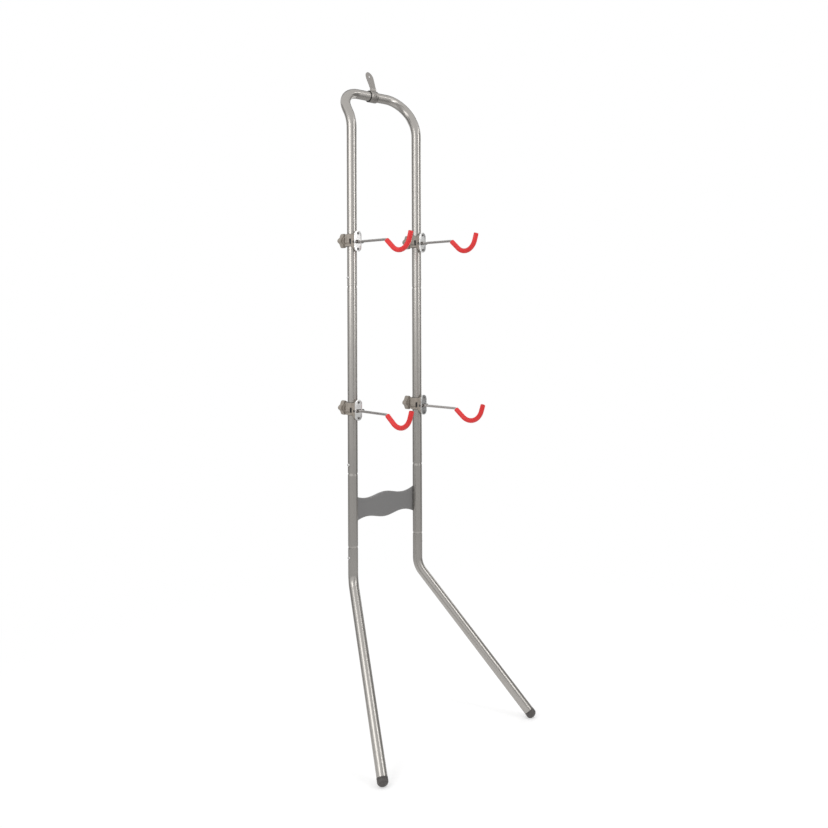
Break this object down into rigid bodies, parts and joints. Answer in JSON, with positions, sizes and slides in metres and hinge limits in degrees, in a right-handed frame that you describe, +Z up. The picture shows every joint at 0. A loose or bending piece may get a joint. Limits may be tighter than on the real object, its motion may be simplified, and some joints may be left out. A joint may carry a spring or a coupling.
{
  "type": "gravity bike rack",
  "caption": "Leaning floor rack for bikes: two tube posts under a bent arch, splayed front legs, and sliding clamps with tilting hooked arms in soft sleeves.",
  "frame": {"origin": "centre of the footprint box, at floor level", "axes": "+Z up, +Y towards the wall that the rack leans on, arms and feet at -Y"},
  "size_m": [0.6636, 0.4574, 2.1374],
  "materials": {
    "silver_coat": "satin silver-grey powder coat",
    "plate_coat": "satin dark grey powder coat",
    "foot_rubber": "matt moulded rubber",
    "black_nylon": "matt moulded nylon",
    "zinc": "zinc plate",
    "dark_steel": "dark plated steel",
    "bright_cover": "bright satin",
    "warm_grey": "satin moulded plastic",
    "bar_steel": "polished steel bar",
    "red_sleeve": "satin dipped vinyl"
  },
  "bodies": {
    "frame": {"top_arch": "silver_coat", "left_middle_tube": "silver_coat", "right_middle_tube": "silver_coat", "left_lower_tube": "silver_coat", "right_lower_tube": "silver_coat", "left_leg": "silver_coat", "right_leg": "silver_coat", "cross_plate": "plate_coat", "left_foot_cap": "foot_rubber", "right_foot_cap": "foot_rubber", "wall_tab": "zinc", "wall_tab_liner": "black_nylon", "wall_tab_screw": "zinc"},
    "left_upper_snap_button": {"left_upper_snap_button": "zinc"},
    "left_middle_snap_button": {"left_middle_snap_button": "zinc"},
    "left_lower_snap_button": {"left_lower_snap_button": "zinc"},
    "right_upper_snap_button": {"right_upper_snap_button": "zinc"},
    "right_middle_snap_button": {"right_middle_snap_button": "zinc"},
    "right_lower_snap_button": {"right_lower_snap_button": "zinc"},
    "upper_left_slider": {"upper_left_clamp_liner": "black_nylon"},
    "upper_left_clamp": {"upper_left_clamp_body": "warm_grey", "upper_left_cover_plate": "bright_cover", "upper_left_upper_cover_screw": "dark_steel", "upper_left_lower_cover_screw": "dark_steel", "upper_left_pivot_pin": "dark_steel"},
    "upper_left_arm": {"upper_left_arm_rod": "bar_steel", "upper_left_hook_sleeve": "red_sleeve"},
    "upper_left_pad": {"upper_left_pressure_pad": "dark_steel"},
    "upper_left_knob": {"upper_left_star_knob": "warm_grey"},
    "upper_right_slider": {"upper_right_clamp_liner": "black_nylon"},
    "upper_right_clamp": {"upper_right_clamp_body": "warm_grey", "upper_right_cover_plate": "bright_cover", "upper_right_upper_cover_screw": "dark_steel", "upper_right_lower_cover_screw": "dark_steel", "upper_right_pivot_pin": "dark_steel"},
    "upper_right_arm": {"upper_right_arm_rod": "bar_steel", "upper_right_hook_sleeve": "red_sleeve"},
    "upper_right_pad": {"upper_right_pressure_pad": "dark_steel"},
    "upper_right_knob": {"upper_right_star_knob": "warm_grey"},
    "lower_left_slider": {"lower_left_clamp_liner": "black_nylon"},
    "lower_left_clamp": {"lower_left_clamp_body": "warm_grey", "lower_left_cover_plate": "bright_cover", "lower_left_upper_cover_screw": "dark_steel", "lower_left_lower_cover_screw": "dark_steel", "lower_left_pivot_pin": "dark_steel"},
    "lower_left_arm": {"lower_left_arm_rod": "bar_steel", "lower_left_hook_sleeve": "red_sleeve"},
    "lower_left_pad": {"lower_left_pressure_pad": "dark_steel"},
    "lower_left_knob": {"lower_left_star_knob": "warm_grey"},
    "lower_right_slider": {"lower_right_clamp_liner": "black_nylon"},
    "lower_right_clamp": {"lower_right_clamp_body": "warm_grey", "lower_right_cover_plate": "bright_cover", "lower_right_upper_cover_screw": "dark_steel", "lower_right_lower_cover_screw": "dark_steel", "lower_right_pivot_pin": "dark_steel"},
    "lower_right_arm": {"lower_right_arm_rod": "bar_steel", "lower_right_hook_sleeve": "red_sleeve"},
    "lower_right_pad": {"lower_right_pressure_pad": "dark_steel"},
    "lower_right_knob": {"lower_right_star_knob": "warm_grey"}
  },
  "joints": [
    {"name": "left_upper_button_press", "type": "slide", "parent": "frame", "child": "left_upper_snap_button", "axis": [1, 0, 0], "range_m": [0, 0.005], "stiffness_N_per_m": 4000, "springref_m": -0.001},
    {"name": "left_middle_button_press", "type": "slide", "parent": "frame", "child": "left_middle_snap_button", "axis": [1, 0, 0], "range_m": [0, 0.005], "stiffness_N_per_m": 4000, "springref_m": -0.001},
    {"name": "left_lower_button_press", "type": "slide", "parent": "frame", "child": "left_lower_snap_button", "axis": [1, 0, 0], "range_m": [0, 0.005], "stiffness_N_per_m": 4000, "springref_m": -0.001},
    {"name": "right_upper_button_press", "type": "slide", "parent": "frame", "child": "right_upper_snap_button", "axis": [-1, 0, 0], "range_m": [0, 0.005], "stiffness_N_per_m": 4000, "springref_m": -0.001},
    {"name": "right_middle_button_press", "type": "slide", "parent": "frame", "child": "right_middle_snap_button", "axis": [-1, 0, 0], "range_m": [0, 0.005], "stiffness_N_per_m": 4000, "springref_m": -0.001},
    {"name": "right_lower_button_press", "type": "slide", "parent": "frame", "child": "right_lower_snap_button", "axis": [-1, 0, 0], "range_m": [0, 0.005], "stiffness_N_per_m": 4000, "springref_m": -0.001},
    {"name": "upper_left_slide", "type": "slide", "parent": "frame", "child": "upper_left_slider", "axis": [0, 0, 1], "range_m": [-0.073, 0.327]},
    {"name": "upper_left_swivel", "type": "hinge", "parent": "upper_left_slider", "child": "upper_left_clamp", "pos_m": [-0.14, 0.14049, 1.556], "axis": [0, 0, 1], "range_deg": [-90, 45]},
    {"name": "upper_left_arm_tilt", "type": "hinge", "parent": "upper_left_clamp", "child": "upper_left_arm", "pos_m": [-0.14, 0.11639, 1.5502], "axis": [1, 0, 0], "range_deg": [-10, 10]},
    {"name": "upper_left_pad_slide", "type": "slide", "parent": "upper_left_clamp", "child": "upper_left_pad", "axis": [0, 1, 0], "range_m": [0, 0.0019]},
    {"name": "upper_left_knob_turn", "type": "hinge", "parent": "upper_left_pad", "child": "upper_left_knob", "pos_m": [-0.14, 0.14049, 1.556], "axis": [0, 1, 0], "range_deg": [0, 540]},
    {"name": "upper_right_slide", "type": "slide", "parent": "frame", "child": "upper_right_slider", "axis": [0, 0, 1], "range_m": [-0.08, 0.32]},
    {"name": "upper_right_swivel", "type": "hinge", "parent": "upper_right_slider", "child": "upper_right_clamp", "pos_m": [0.14, 0.14049, 1.563], "axis": [0, 0, 1], "range_deg": [-45, 90]},
    {"name": "upper_right_arm_tilt", "type": "hinge", "parent": "upper_right_clamp", "child": "upper_right_arm", "pos_m": [0.14, 0.11639, 1.5572], "axis": [1, 0, 0], "range_deg": [-10, 10]},
    {"name": "upper_right_pad_slide", "type": "slide", "parent": "upper_right_clamp", "child": "upper_right_pad", "axis": [0, 1, 0], "range_m": [0, 0.0019]},
    {"name": "upper_right_knob_turn", "type": "hinge", "parent": "upper_right_pad", "child": "upper_right_knob", "pos_m": [0.14, 0.14049, 1.563], "axis": [0, 1, 0], "range_deg": [0, 540]},
    {"name": "lower_left_slide", "type": "slide", "parent": "frame", "child": "lower_left_slider", "axis": [0, 0, 1], "range_m": [-0.135, 0.354]},
    {"name": "lower_left_swivel", "type": "hinge", "parent": "lower_left_slider", "child": "lower_left_clamp", "pos_m": [-0.14, 0.14049, 1.016], "axis": [0, 0, 1], "range_deg": [-90, 45]},
    {"name": "lower_left_arm_tilt", "type": "hinge", "parent": "lower_left_clamp", "child": "lower_left_arm", "pos_m": [-0.14, 0.11639, 1.0102], "axis": [1, 0, 0], "range_deg": [-10, 10]},
    {"name": "lower_left_pad_slide", "type": "slide", "parent": "lower_left_clamp", "child": "lower_left_pad", "axis": [0, 1, 0], "range_m": [0, 0.0019]},
    {"name": "lower_left_knob_turn", "type": "hinge", "parent": "lower_left_pad", "child": "lower_left_knob", "pos_m": [-0.14, 0.14049, 1.016], "axis": [0, 1, 0], "range_deg": [0, 540]},
    {"name": "lower_right_slide", "type": "slide", "parent": "frame", "child": "lower_right_slider", "axis": [0, 0, 1], "range_m": [-0.131, 0.358]},
    {"name": "lower_right_swivel", "type": "hinge", "parent": "lower_right_slider", "child": "lower_right_clamp", "pos_m": [0.14, 0.14049, 1.012], "axis": [0, 0, 1], "range_deg": [-51, 84]},
    {"name": "lower_right_arm_tilt", "type": "hinge", "parent": "lower_right_clamp", "child": "lower_right_arm", "pos_m": [0.14252, 0.11652, 1.0062], "axis": [0.9945, 0.1045, 0], "range_deg": [-10, 10]},
    {"name": "lower_right_pad_slide", "type": "slide", "parent": "lower_right_clamp", "child": "lower_right_pad", "axis": [-0.1045, 0.9945, 0], "range_m": [0, 0.0019]},
    {"name": "lower_right_knob_turn", "type": "hinge", "parent": "lower_right_pad", "child": "lower_right_knob", "pos_m": [0.14, 0.14049, 1.012], "axis": [-0.1045, 0.9945, 0], "range_deg": [0, 540]}
  ],
  "couplings": [
    {"joint": "upper_left_pad_slide", "follows": "upper_left_knob_turn", "m_per_rad": 0.00019894},
    {"joint": "upper_right_pad_slide", "follows": "upper_right_knob_turn", "m_per_rad": 0.00019894},
    {"joint": "lower_left_pad_slide", "follows": "lower_left_knob_turn", "m_per_rad": 0.00019894},
    {"joint": "lower_right_pad_slide", "follows": "lower_right_knob_turn", "m_per_rad": 0.00019894}
  ]
}
